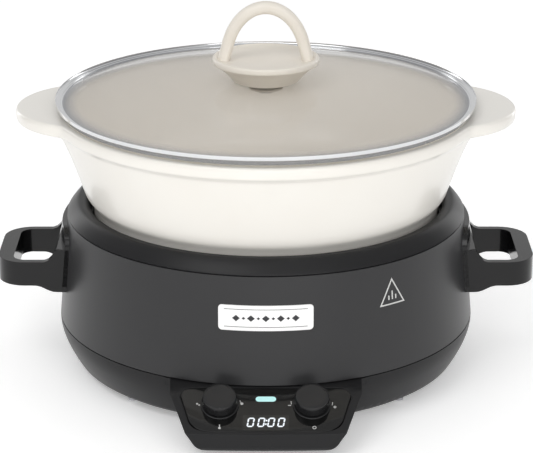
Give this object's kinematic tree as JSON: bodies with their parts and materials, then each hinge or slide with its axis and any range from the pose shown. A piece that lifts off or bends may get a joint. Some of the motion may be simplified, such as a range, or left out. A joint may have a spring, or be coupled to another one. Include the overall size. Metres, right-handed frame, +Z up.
{
  "type": "slow cooker",
  "caption": "Round countertop slow cooker with a heated base, sloped dial panel, side handles, lift-out eared pot and domed glass lid.",
  "frame": {"origin": "middle of the outline, front to back and side to side, at the height the feet stand on", "axes": "+Z up, +X to the right from handle to handle, front and control panel towards -Y"},
  "size_m": [0.387, 0.3377, 0.2664],
  "materials": {
    "housing_plastic": "fine matte moulding, charcoal",
    "wall_paint": "satin charcoal paint",
    "handle_plastic": "glossy black",
    "panel_gloss": "glossy smoked black",
    "knob_plastic": "matte black",
    "pot_enamel": "cream ceramic coating",
    "grip_cream": "cream heat-proof resin",
    "lid_glass": "clear tempered glass",
    "ring_steel": "polished stainless steel",
    "cast_aluminium": "cast, satin",
    "liner_aluminium": "drawn sheet",
    "element_steel": "heat-darkened tube",
    "screw_steel": "zinc plated",
    "spring_steel": "drawn wire",
    "pin_brass": "plated",
    "board_green": "glass-epoxy laminate",
    "component_dark": "moulded components",
    "wire_insulation": "silicone insulation",
    "fuse_ceramic": "ceramic body",
    "inlet_plastic": "moulded socket",
    "foot_rubber": "soft rubber",
    "badge_white": "white enamel plate",
    "mark_grey": "printed grey",
    "icon_grey": "printed grey",
    "window_smoke": "smoked window",
    "digit_light": "lit segments",
    "indicator_light": "lit light pipe",
    "gasket_silicone": "silicone"
  },
  "bodies": {
    "base": {"base_pan": "housing_plastic", "side_wall": "wall_paint", "top_collar": "housing_plastic", "inner_liner": "liner_aluminium", "heat_plate": "cast_aluminium", "heating_element": "element_steel", "heat_shield": "liner_aluminium", "plate_nuts": "screw_steel", "thermal_fuse": "fuse_ceramic", "sensor_guide": "screw_steel", "sensor_spring": "spring_steel", "power_board": "board_green", "board_components": "component_dark", "board_screws": "screw_steel", "wiring": "wire_insulation", "power_inlet": "inlet_plastic", "inlet_pins": "pin_brass", "base_screws": "screw_steel", "rubber_feet": "foot_rubber", "badge_plate": "badge_white", "heat_mark": "mark_grey", "left_handle": "handle_plastic", "right_handle": "handle_plastic", "handle_screws": "screw_steel", "panel_housing": "housing_plastic", "panel_fascia": "panel_gloss", "display_window": "window_smoke", "display_module": "component_dark", "display_digits": "digit_light", "display_board": "board_green", "indicator_lens": "indicator_light", "panel_icons": "icon_grey", "left_knob_ring": "knob_plastic", "right_knob_ring": "knob_plastic", "left_encoder": "screw_steel", "right_encoder": "screw_steel", "encoder_nuts": "screw_steel"},
    "sensor": {"sensor_puck": "cast_aluminium"},
    "pot": {"cooking_pot": "pot_enamel"},
    "lid": {"lid_glass": "lid_glass", "lid_ring": "ring_steel", "lid_handle": "grip_cream", "handle_gasket": "gasket_silicone", "lid_washer": "gasket_silicone", "lid_screw": "screw_steel"},
    "left_plunger": {"left_push_pin": "component_dark"},
    "right_plunger": {"right_push_pin": "component_dark"},
    "left_dial": {"left_knob": "knob_plastic", "left_shaft": "screw_steel"},
    "right_dial": {"right_knob": "knob_plastic", "right_shaft": "screw_steel"}
  },
  "joints": [
    {"name": "sensor_travel", "type": "slide", "parent": "base", "child": "sensor", "axis": [0, 0, -1], "range_m": [0, 0.002], "stiffness_N_per_m": 400, "springref_m": -0.004, "deforming": ["sensor_spring"]},
    {"name": "pot_lift", "type": "slide", "parent": "base", "child": "pot", "axis": [0, 0, 1], "range_m": [0, 0.16]},
    {"name": "lid_lift", "type": "slide", "parent": "pot", "child": "lid", "axis": [0, 0, 1], "range_m": [0, 0.12]},
    {"name": "left_press", "type": "slide", "parent": "base", "child": "left_plunger", "axis": [0, 0.454, -0.891], "range_m": [0, 0.0008], "stiffness_N_per_m": 2500, "springref_m": -0.0008},
    {"name": "left_turn", "type": "hinge", "parent": "left_plunger", "child": "left_dial", "pos_m": [-0.0308, -0.14613, 0.02922], "axis": [0, -0.454, 0.891], "continuous": true},
    {"name": "right_press", "type": "slide", "parent": "base", "child": "right_plunger", "axis": [0, 0.454, -0.891], "range_m": [0, 0.0008], "stiffness_N_per_m": 2500, "springref_m": -0.0008},
    {"name": "right_turn", "type": "hinge", "parent": "right_plunger", "child": "right_dial", "pos_m": [0.0308, -0.14613, 0.02922], "axis": [0, -0.454, 0.891], "continuous": true}
  ]
}
